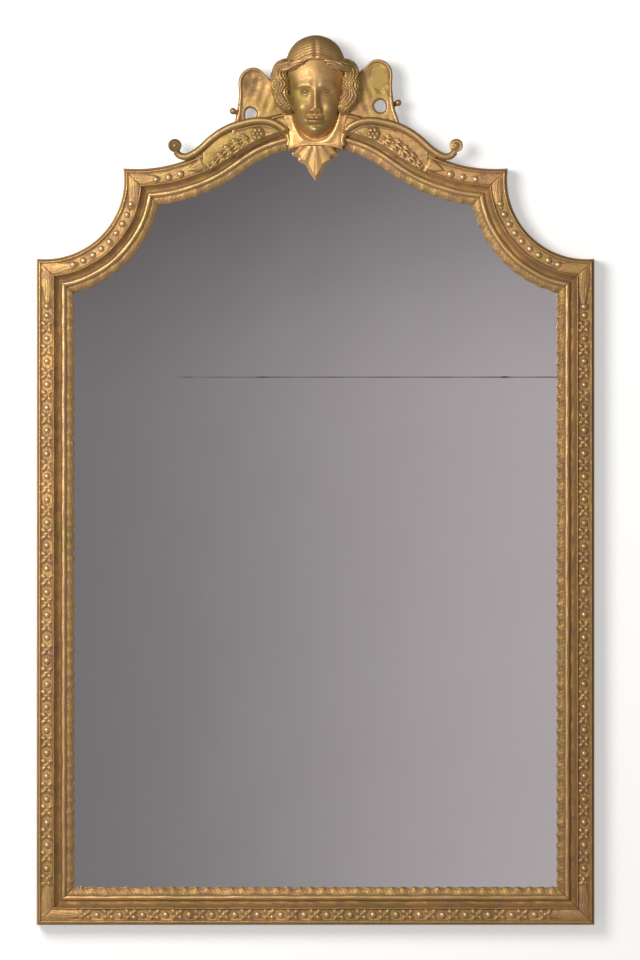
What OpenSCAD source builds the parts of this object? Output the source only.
// Overmantel mirror: a carved and gilt frame of seven mitred lengths round a
// divided plate, under a crest with a cherub mask.
// The front view is drawn in X and Y with the height of the relief in Z, and
// stand() then turns it upright: X to the right, Z up, the front towards -Y.
// The back of the frame lies on the plane Y = 0, and its foot on Z = 0.

/* [Frame outline] */
// Width over the two stiles
frame_w = 1080; // [1040:5:1120]
// Height of the outer corner at the top of a stile
stile_h = 1290; // [1240:5:1310]
// Radius of the hollow shoulder along its outer edge
shoulder_r = 154; // [140:1:165]
// How far the shoulder's centre lies in from the frame's outer edge
shoulder_in = 15; // [8:1:24]
// How far the crown's sight edge rises over the corners of the stiles
crown_rise = 218; // [195:1:235]
// Radius of the crown along its sight edge
crown_r = 226; // [210:1:240]
// Radius of the hollow sweep beside the crown along its sight edge
sweep_r = 352; // [340:1:365]
// How far the sweep's centre lies in from the frame's outer edge
sweep_in = 192.5; // [180:0.5:205]

/* [Moulding] */
// Height of the two fillets over the frame's back
frame_d = 48; // [42:1:56]
// Width of the outer edge with its fillet
edge_w = 9; // [7:0.5:11]
// Width of the carved band
band_w = 22; // [20:0.5:26]
// Depth of the carved band's flat ground under the fillets
band_sink = 4; // [2:0.5:6]
// Width of the inner fillet
fillet_w = 3; // [2:0.5:4]
// Width of the hollow inside the inner fillet
cove_w = 12; // [10:0.5:15]
// Height of the hollow's foot over the frame's back
cove_v = 29; // [27:0.5:32]
// Radius of the astragal
astragal_r = 5.5; // [4.5:0.25:6.5]
// Width of the leaf slope down to the glass
sight_w = 14; // [12:0.5:17]
// Height of the sight edge over the frame's back
sight_v = 23; // [22:0.5:25]
// Radius of the carved beads
bead_r = 6.6; // [5:0.1:8]
// Spacing of the beads along the stiles and the foot
bead_pitch = 44.6; // [38:0.1:55]
// Spacing of the beads along the shoulders
shoulder_pitch = 21; // [16:0.5:30]
// Plain stretch of band at each end of the stiles and the foot
plain_end = 100; // [70:1:130]
// Plain stretch of band at each end of the shoulders
shoulder_plain = 50; // [30:1:70]
// Spacing of the three beads at the foot of each arch
arch_pitch = 24.5; // [18:0.5:28]
// Plain stretch of band before them
arch_plain = 57; // [45:1:65]

/* [Rebates and glass] */
// Width of the rebate that holds the glass
glass_rebate_w = 11; // [9:0.5:13]
// Height of the glass rebate over the frame's back
glass_rebate_v = 19; // [18:0.5:20]
// Width of the rebate that holds the back boards
board_rebate_w = 26; // [22:0.5:30]
// Thickness of the back boards
board_t = 10; // [8:0.5:12]
// How deep the back boards lie under the frame's back
board_sink = 1; // [0.5:0.5:2]
// Thickness of the plates
plate_t = 5; // [4:0.5:6]
// Height of the joint between the two plates
joint_h = 1061; // [1000:1:1120]
// Open joint between the two plates
joint_gap = 1.2; // [0.6:0.2:2.4]
// Play all round the plates
glass_play = 2; // [1:0.5:3]
// Play all round the back boards
board_play = 1.5; // [1:0.5:3]
// Width of the lap between neighbouring boards
lap_w = 9; // [6:0.5:12]

/* [Crest] */
// Width of the keystone between the two arches
keystone_w = 124; // [110:1:134]
// Height of the keystone over the sight edge
keystone_h = 92; // [84:1:100]
// Height of the keystone's face over the frame's back
seat_v = 40; // [37:1:43]
// Height of the ground board over the keystone
ground_h = 104; // [94:1:112]
// Height of the mask from chin to crown
mask_h = 200; // [190:1:210]
// Height of the chin over the sight edge
chin_up = 14; // [10:1:20]
// Depth of the mask without its nose
mask_d = 50; // [44:1:56]
// Length of the pendant under the sight edge
pendant_drop = 66; // [56:1:76]
// Width of the pendant
pendant_w = 91; // [80:1:100]
// Thickness of the collar over the pendant
collar_t = 8; // [6:0.5:10]
// Thickness of an ear
ear_t = 22; // [18:1:26]
// How much higher the right ear stands than the left
ear_step = 16; // [0:1:20]
// Thickness of the scroll panels
panel_t = 7; // [5:0.5:10]
// Radius of the scrolls' round spine
spine_r = 5.5; // [4.5:0.25:6.5]

/* [Back] */
// Length of a butterfly key
key_l = 38; // [30:1:44]
// Width of a butterfly key at its ends
key_w = 15; // [12:0.5:18]
// Depth of a butterfly key
key_t = 6; // [4:0.5:8]
// Width of the crest batten
batten_w = 56; // [44:1:64]
// Thickness of the crest batten
batten_t = 12; // [10:0.5:14]
// How far the rings' pivots lie below the corners of the stiles
hanger_drop = 160; // [140:5:290]
// Width of a strap hanger
strap_w = 20; // [16:1:22]
// Length of a strap hanger over its pivot
strap_l = 62; // [54:1:70]
// Thickness of the strap's sheet
strap_t = 1.6; // [1.2:0.1:1.8]
// Radius of a ring's wire
wire_r = 1.75; // [1.5:0.05:1.9]
// Radius of a ring's round end along the wire's middle
ring_r = 14; // [12.5:0.25:14.5]
// Play of a ring's wire in its barrel
ring_play = 0.06; // [0.03:0.01:0.09]

/* [Hidden] */
$fn = 48;
fine = 180;             // facets of the wide arcs

gilt = [0.72, 0.55, 0.28];
bare_wood = [0.55, 0.42, 0.28];
silvered = [0.62, 0.61, 0.61];
felt = [0.45, 0.40, 0.33];
iron = [0.25, 0.24, 0.23];

glue = 0.05;            // half of a glued joint
over = 1;               // how far a cut runs past what it cuts
far = 3000;             // longer than the frame
fit = 0.1;              // play of a screw or key in its hole
arc_steps = 10;         // chords in a quarter of the section's round stretches

half_w = frame_w / 2;
crown_h = stile_h + crown_rise;            // the sight edge at the crown's middle
hanger_h = stile_h - hanger_drop;
astragal_w = 2 * astragal_r + 1;
moulding_w = edge_w + band_w + fillet_w + cove_w + astragal_w + sight_w;
outer_r = crown_r + moulding_w;            // the crown's outer edge
band_u = edge_w + band_w / 2;              // middle of the carved band
band_v = frame_d - band_sink;              // height of its flat ground
board_ledge_v = board_sink + board_t;      // where the boards seat

// Centres of the arcs in the front view. The crown and the sweep are tangent.
shoulder_c = [-half_w + shoulder_in,
              stile_h + sqrt(pow(shoulder_r, 2) - pow(shoulder_in, 2))];
crown_c = [0, crown_h - crown_r];
sweep_x = -half_w + sweep_in;
sweep_c = [sweep_x,
           crown_c[1] + sqrt(pow(sweep_r + crown_r, 2) - pow(sweep_x, 2))];
crown_turn = atan2(-sweep_c[0], sweep_c[1] - crown_c[1]);  // half angle of the crown

// ---- plane geometry ----

// Points along an arc about c, from angle a to angle b.
function arc(c, r, a, b, n) =
    [for (i = [0:n]) c + r * [cos(a + (b - a) * i / n), sin(a + (b - a) * i / n)]];

// The crossing of two circles that lies to the left of the line from p to q.
function crossing(p, r, q, s) =
    let (d = norm(q - p),
         along = (d * d + r * r - s * s) / (2 * d),
         aside = sqrt(max(0, r * r - along * along)),
         t = (q - p) / d)
    p + along * t + aside * [-t[1], t[0]];

// The two ends of each mitre, at the outer edge and at the sight edge.
foot_mitre = [[-half_w, 0], [-half_w + moulding_w, moulding_w]];
stile_mitre = [for (u = [0, moulding_w])
    [-half_w + u,
     shoulder_c[1] - sqrt(pow(shoulder_r + u, 2) - pow(u - shoulder_in, 2))]];
sweep_mitre = [for (u = [0, moulding_w])
    crossing(sweep_c, sweep_r - moulding_w + u, shoulder_c, shoulder_r + u)];

// What lies more than u inside the frame's outer edge, as a plane region.
module inside(u) {
    reach = outer_r - u;
    difference() {
        translate([-half_w + u, u])
            square([frame_w - 2 * u, crown_c[1] + reach * cos(crown_turn) - u]);
        for (side = [-1, 1]) {
            translate([-side * shoulder_c[0], shoulder_c[1]])
                circle(shoulder_r + u, $fn = fine);
            translate([-side * sweep_c[0], sweep_c[1]])
                circle(sweep_r - moulding_w + u, $fn = fine);
        }
    }
    translate(crown_c) circle(reach, $fn = fine);
}

// A horizontal strip of the front view.
module strip(low, high) {
    translate([-far / 2, low]) square([far, high - low]);
}

// Everything to the left of the line from p to q, and half a glued joint more.
module left_of(p, q) {
    translate([p[0], p[1], 0])
        rotate([0, 0, atan2(q[1] - p[1], q[0] - p[0])])
            translate([-far / 2, -glue, -over]) cube([far, far, far]);
}

module right_of(p, q) {
    left_of(q, p);
}

// Turns the front view upright.
module stand() {
    rotate([90, 0, 0]) children();
}

module on_right() {
    mirror([1, 0, 0]) children();
}

module both_sides() {
    for (side = [0, 1]) mirror([side, 0, 0]) children();
}

// ---- the moulding ----

// Its section: u runs in from the outer edge, v up from the frame's back.
function section() =
    let (cove_u = edge_w + band_w + fillet_w,
         astragal_u = cove_u + cove_w,
         leaf_u = astragal_u + astragal_w,
         board_u = moulding_w - board_rebate_w,
         glass_u = moulding_w - glass_rebate_w)
    concat(
        [[0, 0], [0, frame_d - 10]],
        arc([0, frame_d - 6], 4, -90, 0, 4),
        [[4, frame_d - 2], [5, frame_d], [edge_w - 1, frame_d], [edge_w, band_v],
         [edge_w + band_w, band_v], [edge_w + band_w + 0.5, frame_d],
         [cove_u, frame_d]],
        [for (i = [1:arc_steps]) let (a = 90 * i / arc_steps)
            [cove_u + cove_w * (1 - cos(a)), frame_d - (frame_d - cove_v) * sin(a)]],
        arc([astragal_u + 0.5 + astragal_r, cove_v], astragal_r, 180, 0, arc_steps),
        [[leaf_u, cove_v]],
        [for (i = [1:4]) let (t = i / 4)
            [leaf_u + sight_w * t,
             cove_v - (cove_v - sight_v) * t + 1.5 * sin(180 * t)]],
        [[moulding_w, glass_rebate_v], [glass_u, glass_rebate_v],
         [glass_u, board_ledge_v], [board_u, board_ledge_v], [board_u, 0]]);

module bead() {
    translate([0, 0, band_v]) sphere(bead_r);
}

// A straight length up the left side with its foot at the origin.
module straight(l) {
    translate([0, l, 0]) rotate([90, 0, 0]) linear_extrude(l) polygon(section());
}

// A hollow length about the origin, over an angle from the foot of its circle: the
// outer edge, at radius r, is next to the centre.
module hollow(r, angle) {
    rotate([0, 0, -90])
        rotate_extrude(angle = angle, $fn = fine)
            translate([r, 0]) polygon(section());
}

// A round length about the origin, over an angle from the top of its circle, with its
// sight edge at radius r.
module crowned(r, angle) {
    rotate([0, 0, 90])
        rotate_extrude(angle = angle, $fn = fine)
            translate([r + moulding_w, 0]) mirror([1, 0]) polygon(section());
}

// Beads at an even spacing, centred on a run of length l.
function bead_places(l, pitch) =
    let (n = floor(l / pitch)) [for (i = [0:n]) (i - n / 2) * pitch];

// ---- the frame lengths, in the front view ----

module bottom_rail() {
    color(gilt) stand() difference() {
        union() {
            translate([-half_w, 0, 0]) rotate([0, 0, -90]) on_right() straight(frame_w);
            for (x = bead_places(frame_w - 2 * plain_end, bead_pitch))
                translate([x, band_u, 0]) bead();
        }
        left_of(foot_mitre[0], foot_mitre[1]);
        on_right() left_of(foot_mitre[0], foot_mitre[1]);
        both_sides() key_pocket(foot_mitre);
        board_screw_holes(foot_screws());
    }
}

module stile() {
    run = stile_mitre[0][1] - 2 * plain_end;
    difference() {
        union() {
            translate([-half_w, 0, 0]) straight(stile_mitre[0][1] + over);
            for (y = bead_places(run, bead_pitch))
                translate([-half_w + band_u, plain_end + run / 2 + y, 0]) bead();
        }
        right_of(foot_mitre[0], foot_mitre[1]);
        left_of(stile_mitre[0], stile_mitre[1]);
        key_pocket(foot_mitre);
        key_pocket(stile_mitre);
        board_screw_holes(side_screws());
        hanger_pocket();
    }
}

function bearing(c, q) = atan2(q[1] - c[1], q[0] - c[0]);
shoulder_start = bearing(shoulder_c, stile_mitre[0]);
shoulder_turn = bearing(shoulder_c, sweep_mitre[0]) - shoulder_start;
mitre_turn = 3;         // the shoulder is cut longer by this angle, then mitred

module shoulder() {
    bead_path_r = shoulder_r + band_u;
    run = bead_path_r * shoulder_turn * PI / 180 - 2 * shoulder_plain;
    difference() {
        translate(concat(shoulder_c, 0)) {
            rotate([0, 0, shoulder_start + 90 - mitre_turn])
                hollow(shoulder_r, shoulder_turn + 2 * mitre_turn);
            for (s = bead_places(run, shoulder_pitch))
                rotate([0, 0, shoulder_start + shoulder_turn / 2 + s / bead_path_r * 180 / PI])
                    translate([bead_path_r, 0, 0]) bead();
        }
        right_of(stile_mitre[0], stile_mitre[1]);
        left_of(sweep_mitre[0], sweep_mitre[1]);
        key_pocket(stile_mitre);
        key_pocket(sweep_mitre);
        board_screw_holes(shoulder_screws());
    }
}

// The sweep and the crown meet on one plane, where both circles are tangent.
module arch() {
    start = bearing(sweep_c, sweep_mitre[0]);
    bead_path_r = sweep_r - moulding_w + band_u;
    difference() {
        union() {
            translate(concat(crown_c, 0)) rotate([0, 0, crown_turn]) mirror([1, 0, 0]) {
                crowned(crown_r, crown_turn);
                translate([0, crown_r + sweep_r, 0])
                    hollow(sweep_r - moulding_w, crown_turn - 90 - start + 4);
            }
            for (i = [0:2])
                let (a = start + (arch_plain + i * arch_pitch) / bead_path_r * 180 / PI)
                translate(concat(sweep_c + bead_path_r * [cos(a), sin(a)], 0)) bead();
        }
        right_of(sweep_mitre[0], sweep_mitre[1]);
        left_of([-keystone_w / 2, crown_h], [-keystone_w / 2, 0]);
        key_pocket(sweep_mitre);
        board_screw_holes(arch_screws());
    }
}

// The block between the arches, with both rebates turned about the crown's centre.
module keystone() {
    sagitta = crown_r - sqrt(pow(crown_r, 2) - pow(keystone_w / 2, 2)) + over;
    color(gilt) stand() difference() {
        translate([-keystone_w / 2, crown_h - sagitta, 0])
            cube([keystone_w, keystone_h + sagitta, seat_v]);
        translate(concat(crown_c, -over)) {
            cylinder(h = far, r = crown_r, $fn = fine);
            cylinder(h = glass_rebate_v + over, r = crown_r + glass_rebate_w, $fn = fine);
            cylinder(h = board_ledge_v + over, r = crown_r + board_rebate_w, $fn = fine);
        }
        batten_housing();
        batten_screw_holes();
        board_screw_holes(keystone_screws());
    }
}

// ---- plates, lining and boards ----

glass_u = moulding_w - glass_rebate_w + glass_play;
board_u = moulding_w - board_rebate_w + board_play;
glass_back_v = glass_rebate_v - plate_t;

module plate_lower() {
    color(silvered) stand() translate([0, 0, glass_back_v]) linear_extrude(plate_t)
        intersection() {
            inside(glass_u);
            strip(0, joint_h - joint_gap / 2);
        }
}

module plate_upper() {
    color(silvered) stand() translate([0, 0, glass_back_v]) linear_extrude(plate_t)
        intersection() {
            inside(glass_u);
            strip(joint_h + joint_gap / 2, far);
        }
}

// A woollen sheet fills the rebate between a plate and the boards.
module lining(low, high) {
    color(felt) stand() translate([0, 0, board_ledge_v])
        linear_extrude(glass_back_v - board_ledge_v)
            intersection() {
                inside(glass_u);
                strip(low, high);
            }
}

// Slips of pine in the play round the plates: x, y and the length along the edge.
module setting_wedges() {
    slip = 30;
    inner = half_w - glass_u;
    color(bare_wood) stand() translate([0, 0, glass_back_v]) {
        for (x = [-0.6, 0.6])
            translate([x * inner - slip / 2, glass_u - glass_play, 0])
                cube([slip, glass_play, plate_t]);
        for (side = [-1, 1], y = [0.15, 0.5, 0.8])
            translate([side * (inner + glass_play / 2) - glass_play / 2,
                       y * stile_mitre[1][1] - slip / 2, 0])
                cube([glass_play, slip, plate_t]);
        for (side = [-1, 1])
            translate(concat(crown_c, 0))
                rotate([0, 0, side * 12])
                    translate([-4, crown_r + glass_rebate_w - glass_play + 0.2, 0])
                        cube([8, glass_play - 0.4, plate_t]);
    }
}

board_count = 5;                         // the top one fills the arched head
board_gap = 1;                           // open joint between boards
board_foot = board_u;                    // lower edge of the lowest board
board_shy = 32;                          // the top board starts this far under the shoulder
board_w = (shoulder_c[1] - sqrt(pow(shoulder_r + board_u, 2) - pow(board_u - shoulder_in, 2))
           - board_shy - board_foot) / (board_count - 1);
function board_low(i) = board_foot + i * board_w;

// One board: its upper edge laps in front of the next board, its lower edge behind.
module backboard(i) {
    low = board_low(i);
    high = i < board_count - 1 ? board_low(i + 1) - board_gap : far;
    color(bare_wood) stand() difference() {
        translate([0, 0, board_sink]) linear_extrude(board_t)
            intersection() {
                inside(board_u);
                strip(low, i < board_count - 1 ? high + lap_w : far);
            }
        if (i < board_count - 1)
            translate([-half_w, high, board_sink - over])
                cube([frame_w, lap_w + over, board_t / 2 + over + fit]);
        if (i > 0)
            translate([-half_w, low - over, board_sink + board_t / 2 - fit])
                cube([frame_w, lap_w + over, board_t + over]);
        board_screw_holes([for (q = all_screws()) if (q[1] > low - 5 && q[1] < high + lap_w) q]);
    }
}

// ---- screws ----

screw_r = 1.7;          // shank
head_r = 3.6;           // countersunk head
screw_l = 17;

// A countersunk screw pointing up, with the face of its head on the plane z = 0.
module screw(l) {
    rotate_extrude() polygon([[0, 0], [head_r, 0], [screw_r, head_r - screw_r],
                              [screw_r, l - 3], [0, l]]);
}

// The hole for it. Its head end runs out past the surface.
module screw_hole(l) {
    rotate_extrude() polygon([[0, -over], [head_r + fit, -over], [head_r + fit, 0],
                              [screw_r + fit, head_r - screw_r], [screw_r + fit, l - 3 + fit],
                              [0, l + fit]]);
}

// Where the board screws go, on the left and along the foot: in the ledge that the
// boards seat on.
ledge_u = moulding_w - (board_rebate_w + glass_rebate_w) / 2 + board_play / 2;
screw_shares = [0.22, 0.78];             // up each board
function side_screws() = [for (i = [0:board_count - 2], t = screw_shares)
    if (board_low(i) + t * board_w < stile_mitre[1][1] - 20)
        [-half_w + ledge_u, board_low(i) + t * board_w]];
function foot_screws() = [for (x = [-0.6, 0, 0.6]) [x * half_w, ledge_u]];
function shoulder_screws() = [for (t = [0.45, 0.72])
    let (a = shoulder_start + t * shoulder_turn)
    shoulder_c + (shoulder_r + ledge_u) * [cos(a), sin(a)]];
function crown_screw(a) = crown_c + (outer_r - ledge_u) * [-sin(a), cos(a)];
function arch_screws() = [crown_screw(0.62 * crown_turn)];
function keystone_screws() = [crown_screw(0)];
function left_screws() = concat(side_screws(), shoulder_screws(), arch_screws());
function all_screws() = concat(left_screws(), [for (q = left_screws()) [-q[0], q[1]]],
                               foot_screws(), keystone_screws());

module board_screw_holes(places) {
    for (q = places) translate(concat(q, board_sink)) screw_hole(screw_l);
}

module board_screws() {
    color(iron) stand()
        for (q = all_screws()) translate(concat(q, board_sink)) screw(screw_l);
}

// ---- butterfly keys across the mitres, on the frame's back ----

key_waist = 0.55;       // waist over end width

module key(grow, depth) {
    l = key_l / 2 + grow;
    w = key_w / 2 + grow;
    n = key_w / 2 * key_waist + grow;
    linear_extrude(depth)
        polygon([[-l, -w], [0, -n], [l, -w], [l, w], [0, n], [-l, w]]);
}

// Puts a key across a mitre, half way over the frame's flat back.
module across(mitre) {
    t = (moulding_w - board_rebate_w) / 2 / moulding_w;
    d = mitre[1] - mitre[0];
    translate(concat(mitre[0] + t * d, 0))
        rotate([0, 0, atan2(d[1], d[0]) + 90]) children();
}

module key_pocket(mitre) {
    across(mitre) translate([0, 0, -over]) key(fit, key_t + over + fit);
}

module mitre_keys() {
    color(bare_wood) stand() both_sides()
        for (m = [foot_mitre, stile_mitre, sweep_mitre]) across(m) key(0, key_t);
}

// ---- crest ----

ground_base = crown_h + keystone_h;      // top of the keystone
chin_y = crown_h + chin_up;
mask_mid = chin_y + mask_h / 2;

// The board behind the head: straight sides under a round top.
module ground_board() {
    r = keystone_w / 2;
    color(gilt) stand() difference() {
        translate([0, 0, batten_t]) linear_extrude(seat_v - batten_t) {
            translate([-r, ground_base]) square([2 * r, ground_h - r]);
            intersection() {
                translate([0, ground_base + ground_h - r]) circle(r);
                translate([-r, ground_base]) square([2 * r, ground_h]);
            }
        }
        batten_screw_holes();
    }
}

batten_low = crown_h + 34;
batten_high = ground_base + 70;

// Where the batten is let into the keystone.
module batten_housing() {
    translate([-batten_w / 2 - fit, batten_low - fit, -over])
        cube([batten_w + 2 * fit, batten_high - batten_low, batten_t + over]);
}

batten_screw_l = 28;
batten_screw_in = 12;   // from the batten's edges
function batten_screw_places() =
    [for (x = [-1, 1], y = [batten_low + batten_screw_in, ground_base - batten_screw_in,
                            ground_base + 2 * batten_screw_in, batten_high - batten_screw_in])
        [x * (batten_w / 2 - batten_screw_in), y]];

module batten_screw_holes() {
    for (p = batten_screw_places()) translate(concat(p, 0)) screw_hole(batten_screw_l);
}

module crest_batten() {
    color(bare_wood) stand() difference() {
        translate([-batten_w / 2, batten_low, 0])
            cube([batten_w, batten_high - batten_low, batten_t]);
        batten_screw_holes();
    }
}

module batten_screws() {
    color(iron) stand()
        for (p = batten_screw_places()) translate(concat(p, 0)) screw(batten_screw_l);
}

// A carved relief over a grid of points p[row][column], rows from the bottom up. The
// grid's outer edge lies in one plane, which closes it at the back.
module relief(p) {
    n = len(p) - 1;
    m = len(p[0]) - 1;
    at = function (j, i) j * (m + 1) + i;
    skin = [for (j = [0:n - 1], i = [0:m - 1])
        each [[at(j, i), at(j + 1, i), at(j + 1, i + 1)],
              [at(j, i), at(j + 1, i + 1), at(j, i + 1)]]];
    rungs = [for (j = [1:n - 2]) [at(j, 0), at(j, m), at(j + 1, m), at(j + 1, 0)]];
    foot = [for (i = [-1:m + 1]) i < 0 ? at(1, 0) : i > m ? at(1, m) : at(0, i)];
    head = [for (i = [m + 1:-1:-1]) i < 0 ? at(n - 1, 0) : i > m ? at(n - 1, m) : at(n, i)];
    polyhedron(points = [for (row = p) each row], faces = concat(skin, rungs, [foot, head]),
               convexity = 6);
}

// The head is a half egg over a grid of angles, pushed out and in by round bumps.
head_unit = mask_h / 200;

// Half width of the egg at each angle over its middle.
function egg_w(rise) = head_unit
    * lookup(rise, [[-90, 50], [-60, 53], [-35, 54], [-15, 54], [5, 59], [30, 69], [60, 78],
                    [90, 78]]);

// Each bump: x and height over the head's middle, half width and height, and push.
bumps = head_unit * [
    [0, -24, 5.5, 22, 7],      // ridge of the nose
    [0, -44, 7.5, 7, 9],       // tip of the nose
    [7.5, -48, 4.5, 4.5, 4],   // nostrils
    [21, -15, 12, 9, -6],      // eye sockets
    [21, -16, 8, 5.5, 6],      // eyeballs
    [20, -2, 15, 4.5, 3],      // brows
    [27, -45, 15, 14, 5],      // cheeks
    [0, -63, 12, 4, 5],        // upper lip
    [0, -69, 9, 3.5, 4],       // lower lip
    [0, -77, 15, 3.5, -3],     // hollow over the chin
    [0, -89, 13, 8, 6],        // chin
    [0, 20, 26, 18, 3]         // forehead
];

function bump_push(x, y) =
    let (parts = [for (b = bumps) b[4] * exp(-pow((abs(x) - b[0]) / b[2], 2)
                                             - pow((y - b[1]) / b[3], 2))])
    parts * [for (p = parts) 1];

hairline = 42 * head_unit;   // over the head's middle, at the parting
cap_t = 4 * head_unit;       // how far the cap of hair stands over the forehead
cap_slope = 3 * head_unit;

function head_point(turn, rise) =
    let (x = egg_w(rise) * cos(rise) * sin(turn),
         y = mask_h / 2 * sin(rise),
         front = pow(cos(rise), 0.6) * pow(cos(turn), 0.9),
         rim = hairline * (1 - 0.25 * pow(x / hairline, 2)),
         cap = cap_t * min(1, max(0, (y - rim) / cap_slope)),
         push = (bump_push(x, y) + cap) * min(1, 2 * front))
    [x, mask_mid + y, seat_v + mask_d * front + push];

head_turns = 30;
head_rises = 32;

module head() {
    relief([for (j = [0:head_rises])
        let (rise = -88 + 176 * j / head_rises)
        [for (i = [0:head_turns])
            let (q = head_point(-90 + 180 * i / head_turns, rise),
                 inner = j > 0 && j < head_rises && i > 0 && i < head_turns)
            [q[0], q[1], inner ? q[2] : seat_v]]]);
}

// A lock of hair is a chain of round links.
module lock(places, radii) {
    for (i = [0:len(places) - 2])
        hull() for (k = [i, i + 1])
            translate(places[k]) sphere(radii[k], $fn = 8);
}

// The side curls roll off the head one under the other.
lock_reach = head_unit * [56, 57, 54, 49, 44, 39];
lock_top = 50 * head_unit;   // over the head's middle
lock_pitch = 17 * head_unit;
lock_v = 32 * head_unit;     // over the seat
lock_line = head_unit * [[0, 0, 0], [14, 3, -4], [24, -5, -10], [20, -13, -13]];
lock_radii = head_unit * [8, 9, 8.5, 6];

module side_locks() {
    for (i = [0:len(lock_reach) - 1])
        translate([lock_reach[i], mask_mid + lock_top - lock_pitch * i, seat_v + lock_v])
            lock(lock_line, lock_radii);
}

module mask() {
    color(gilt) stand() {
        head();
        side_locks();
        on_right() side_locks();
    }
}

// The pendant leaf: half width at each depth under the sight edge, as shares of both.
leaf_outline = [[0, 0.78], [0.1, 0.94], [0.2, 1], [0.3, 0.86], [0.36, 0.7], [0.44, 0.72],
                [0.52, 0.6], [0.58, 0.4], [0.68, 0.33], [0.8, 0.24], [0.92, 0.12], [1, 0.03]];
leaf_rows = 20;
leaf_columns = 30;
leaf_back = sight_v + 1.5;
leaf_edge = 4;          // thickness at the leaf's edge
leaf_ribs = 37;         // angle from rib to rib
collar_x = keystone_w / 2 - 2;
collar_top = crown_h + chin_up + 3;
collar_dip = 9;         // at its middle, under the chin
rim_r = 4;
rim_links = 12;

// Along the crown's sight edge, from the collar's left end at 1 to its right end at -1.
function rim_at(t) = crown_c + (crown_r + 1) * [-sin(t * rim_turn), cos(t * rim_turn)];
rim_turn = asin(collar_x / (crown_r + 1));

// The leaf hangs from the crown's sight edge.
function leaf_point(s, t) =
    let (x = s * pendant_w / 2 * lookup(t, leaf_outline),
         y = crown_c[1] + sqrt(pow(crown_r - fit, 2) - x * x) - t * pendant_drop,
         rib = cos(atan2(x, 12 + crown_h - y) * 360 / leaf_ribs),
         swell = (seat_v + 10 - leaf_back) * (1 - 0.75 * t) * (1 - 0.4 * s * s))
    [x, y, leaf_back + leaf_edge + swell + 2.5 * rib];

module pendant() {
    leaf = [for (j = [0:leaf_rows]) [for (i = [0:leaf_columns])
        let (q = leaf_point(2 * i / leaf_columns - 1, 1 - j / leaf_rows),
             inner = j > 0 && j < leaf_rows && i > 0 && i < leaf_columns)
        [q[0], q[1], inner ? q[2] : leaf_back]]];
    color(gilt) stand() {
        relief(leaf);
        // the collar, on the keystone's face
        translate([0, 0, seat_v]) linear_extrude(collar_t)
            polygon([[-collar_x, collar_top], [-collar_x, rim_at(1)[1]], rim_at(0.6),
                     rim_at(0), rim_at(-0.6), [collar_x, rim_at(-1)[1]],
                     [collar_x, collar_top], [0, collar_top - collar_dip]]);
        // its rolled rim, round which the leaf turns over
        lock([for (i = [0:rim_links])
                  concat(rim_at(1 - 2 * i / rim_links), seat_v + collar_t - rim_r)],
             [for (i = [0:rim_links]) rim_r]);
    }
}

// ---- curved outlines ----

// A smooth curve through the listed points.
function blend(p, i, t) =
    let (n = len(p) - 1,
         a = p[max(0, i - 1)], b = p[i], c = p[i + 1], d = p[min(n, i + 2)])
    0.5 * (2 * b + (c - a) * t + (2 * a - 5 * b + 4 * c - d) * t * t
           + (3 * b - a - 3 * c + d) * t * t * t);

function smooth(p, steps) = concat(
    [for (i = [0:len(p) - 2], k = [0:steps - 1]) blend(p, i, k / steps)],
    [p[len(p) - 1]]);

// A half round strip with its flat back on v = 0, along a path in the front view.
strip_sides = 6;
module strip_along(path, radii) {
    n = len(path) - 1;
    way = function (i) path[min(n, i + 1)] - path[max(0, i - 1)];
    side = function (i) [-way(i)[1], way(i)[0]] / norm(way(i));
    ring = strip_sides + 1;
    points = [for (i = [0:n], k = [0:strip_sides])
        let (a = 180 * k / strip_sides, q = path[i] + side(i) * radii[i] * cos(a))
        [q[0], q[1], radii[i] * sin(a)]];
    walls = [for (i = [0:n - 1], k = [0:strip_sides])
        let (k2 = (k + 1) % ring)
        each [[i * ring + k, (i + 1) * ring + k, (i + 1) * ring + k2],
              [i * ring + k, (i + 1) * ring + k2, i * ring + k2]]];
    polyhedron(points = points,
               faces = concat(walls, [[for (k = [0:strip_sides]) k]],
                              [[for (k = [strip_sides:-1:0]) n * ring + k]]),
               convexity = 8);
}

// ---- ears, drawn on the right: x, and height over the keystone's top ----

ear_line = [[62, 26], [80, 37], [97, 54], [109, 65], [122, 68], [136, 63], [146, 52],
            [149, 38], [149, 16], [151, -4], [157, -28], [164, -50], [170, -76]];
lobe_c = [122, 41];
lobe_r = 27;
lobe_rim = 4.5;
dish_at = [-20, -26];   // from the lobe's centre
dish_r = 44;
dish_depth = 8;
ear_hole_at = [126, -18];
ear_hole_r = 11;
bud_at = [158, -12];
bud_r = 6;

module ear(lift) {
    base = [0, ground_base + lift];
    x0 = keystone_w / 2 + glue;
    edge = [for (q = smooth(ear_line, 3)) if (q[0] > x0) q + base];
    color(gilt) stand() difference() {
        union() {
            translate([0, 0, frame_d - ear_t]) linear_extrude(ear_t)
                polygon(concat([[x0, edge[0][1]]], edge, [[x0, edge[len(edge) - 1][1]]]));
            translate(concat(lobe_c + base, frame_d)) rotate([0, 0, -15])
                rotate_extrude(angle = 180) translate([lobe_r - lobe_rim, 0]) circle(lobe_rim);
            translate(concat(bud_at + base, frame_d - ear_t / 2)) sphere(bud_r);
        }
        translate(concat(ear_hole_at + base, 0)) cylinder(h = far, r = ear_hole_r);
        translate(concat(lobe_c + dish_at + base, frame_d - dish_depth + dish_r)) sphere(dish_r);
        translate(concat(crown_c, 0)) cylinder(h = far, r = outer_r + glue, $fn = fine);
    }
}

// ---- scrolls over the arches, drawn on the left ----

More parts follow.
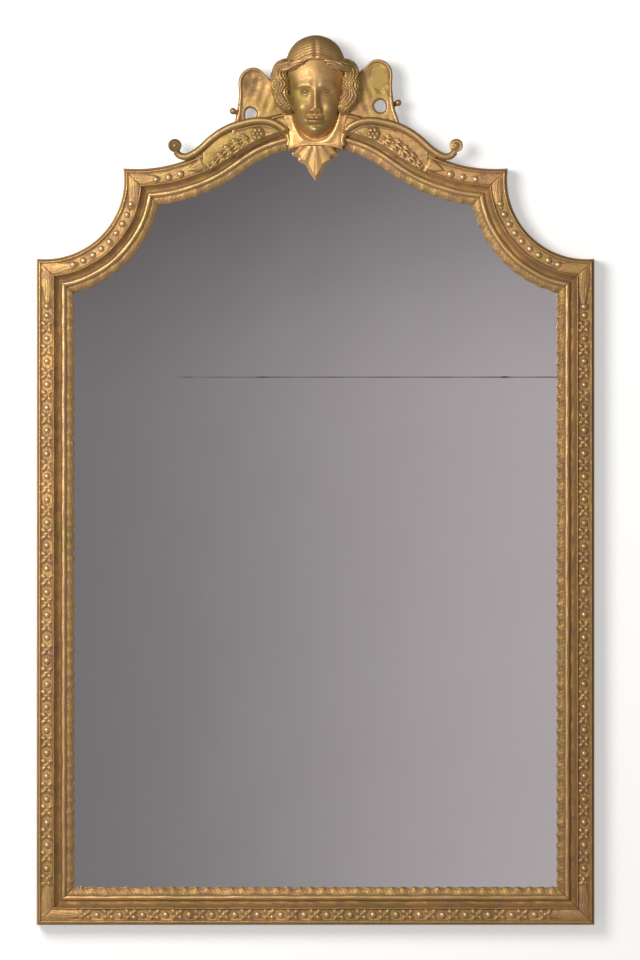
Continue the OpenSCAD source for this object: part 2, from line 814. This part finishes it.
// Each point: the turn round the crown's centre, and how far it lies out of the crown's
// outer edge, as a share of the moulding's width.
volute_at = [50.2, 0.78];
volute_r = 13;
scroll_line = [[51.5, 0.65], [51.7, 0.5], [50.6, 0.35], [48.2, 0.26], [44.9, 0.21],
               [40.7, 0.21], [36.5, 0.2], [31.8, 0.16], [27, 0.08], [22.2, -0.01],
               [17.9, -0.17], [15.3, -0.4]];
panel_low = [0.42, 0.5];                 // its lower edge on the crown and the sweep, alike
panel_ends = [15, 13];                   // its ends: from the top, and past the tangent
husk_turns = [32.6, 37.8, 43.2];
husk_r = [9.5, 8.5, 7.5];
rosette_turn = 24.6;
carved_r = crown_r + 46;                 // the middle of the carving

function round_crown(turn, r) = crown_c + r * [-sin(turn), cos(turn)];
function over_crown(q) = round_crown(q[0], outer_r + q[1] * moulding_w);

module carving_at(turn) {
    translate(concat(round_crown(turn, carved_r), panel_t)) children();
}

module scroll() {
    spine = smooth([for (q = scroll_line) over_crown(q)], 3);
    neck = 9;           // points of the spine that run free of the panel
    rim = 3;
    color(gilt) stand() translate([0, 0, frame_d]) {
        linear_extrude(panel_t)
            polygon(concat([for (i = [neck:len(spine) - 1]) spine[i]],
                           arc(crown_c, crown_r + panel_low[0] * moulding_w,
                               90 + panel_ends[0], 90 + crown_turn, 8),
                           arc(sweep_c, sweep_r - panel_low[1] * moulding_w,
                               crown_turn - 90, crown_turn - 90 - panel_ends[1], 5)));
        strip_along(spine, [for (q = spine) spine_r]);
        // the volute is a dished boss with a round rim and an eye
        translate(over_crown(volute_at)) {
            rotate_extrude() {
                square([volute_r - rim, spine_r]);
                translate([volute_r - rim, 0]) square([rim, spine_r + 1]);
                translate([volute_r - rim, spine_r + 1]) intersection() {
                    circle(rim);
                    translate([-rim, 0]) square([2 * rim, rim]);
                }
            }
            translate([0, 0, spine_r]) sphere(4.5);
        }
        for (i = [0:len(husk_turns) - 1]) carving_at(husk_turns[i]) sphere(husk_r[i]);
        carving_at(rosette_turn) {
            sphere(4.5);
            rotate_extrude() translate([8.5, 0]) circle(3);
        }
    }
}

// ---- strap hangers, in the front view on the left ----

hanger_x = -half_w + (moulding_w - board_rebate_w) / 2;
pocket_w = 2 * (ring_r + wire_r) + 4;
pocket_v = strap_t + 2 * (wire_r + strap_t) - 0.2;
pivot_v = pocket_v - strap_t - wire_r - 0.1;
barrel_r = wire_r + ring_play + strap_t;
ring_leg = 10;
ring_bend = 3;

module hanger_pocket() {
    translate([hanger_x - pocket_w / 2, hanger_h - ring_leg - ring_r - wire_r - 4, -over])
        cube([pocket_w, strap_l + ring_leg + ring_r + wire_r + 6, pocket_v + over]);
    hanger_screw_places() screw_hole(hanger_screw_l);
}

hanger_screw_l = 14;
module hanger_screw_places() {
    for (t = [0.29, 0.56, 0.83])
        translate([hanger_x, hanger_h + t * strap_l, pocket_v - strap_t]) children();
}

module hanger_strap() {
    difference() {
        union() {
            translate([hanger_x - strap_w / 2, hanger_h, pocket_v - strap_t])
                cube([strap_w, strap_l - 2, strap_t]);
            translate([hanger_x - strap_w / 2, hanger_h, pivot_v])
                rotate([0, 90, 0]) cylinder(h = strap_w, r = barrel_r);
        }
        translate([hanger_x - strap_w, hanger_h, pivot_v])
            rotate([0, 90, 0]) cylinder(h = 2 * strap_w, r = wire_r + ring_play);
        hanger_screw_places() screw_hole(hanger_screw_l);
    }
}

module hanger_ring() {
    translate([hanger_x, hanger_h, pivot_v]) {
        translate([-ring_r + ring_bend, 0, 0])
            rotate([0, 90, 0]) cylinder(h = 2 * (ring_r - ring_bend), r = wire_r);
        both_sides() {
            translate([ring_r - ring_bend, -ring_bend, 0])
                rotate_extrude(angle = 90) translate([ring_bend, 0]) circle(wire_r);
            translate([ring_r, -ring_bend, 0])
                rotate([90, 0, 0]) cylinder(h = ring_leg - ring_bend, r = wire_r);
        }
        translate([0, -ring_leg, 0]) rotate([0, 0, 180])
            rotate_extrude(angle = 180) translate([ring_r, 0]) circle(wire_r);
    }
}

module hanger_screws() {
    color(iron) stand() both_sides() hanger_screw_places() screw(hanger_screw_l);
}

bottom_rail();
color(gilt) stand() stile();  // stile_left
color(gilt) stand() on_right() stile();  // stile_right
color(gilt) stand() shoulder();  // shoulder_left
color(gilt) stand() on_right() shoulder();  // shoulder_right
color(gilt) stand() arch();  // arch_left
color(gilt) stand() on_right() arch();  // arch_right
keystone();
plate_lower();
plate_upper();
setting_wedges();
lining(0, joint_h - 2);  // lining_lower
lining(joint_h + 2, far);  // lining_upper
backboard(0);  // backboard_1
backboard(1);  // backboard_2
backboard(2);  // backboard_3
backboard(3);  // backboard_4
backboard(4);  // backboard_5
board_screws();
mitre_keys();
ground_board();
mask();
pendant();
on_right() ear(-ear_step / 2);  // ear_left
ear(ear_step / 2);  // ear_right
scroll();  // scroll_left
on_right() scroll();  // scroll_right
crest_batten();
batten_screws();
color(iron) stand() hanger_strap();  // hanger_strap_left
color(iron) stand() on_right() hanger_strap();  // hanger_strap_right
color(iron) stand() hanger_ring();  // hanger_ring_left
color(iron) stand() on_right() hanger_ring();  // hanger_ring_right
hanger_screws();
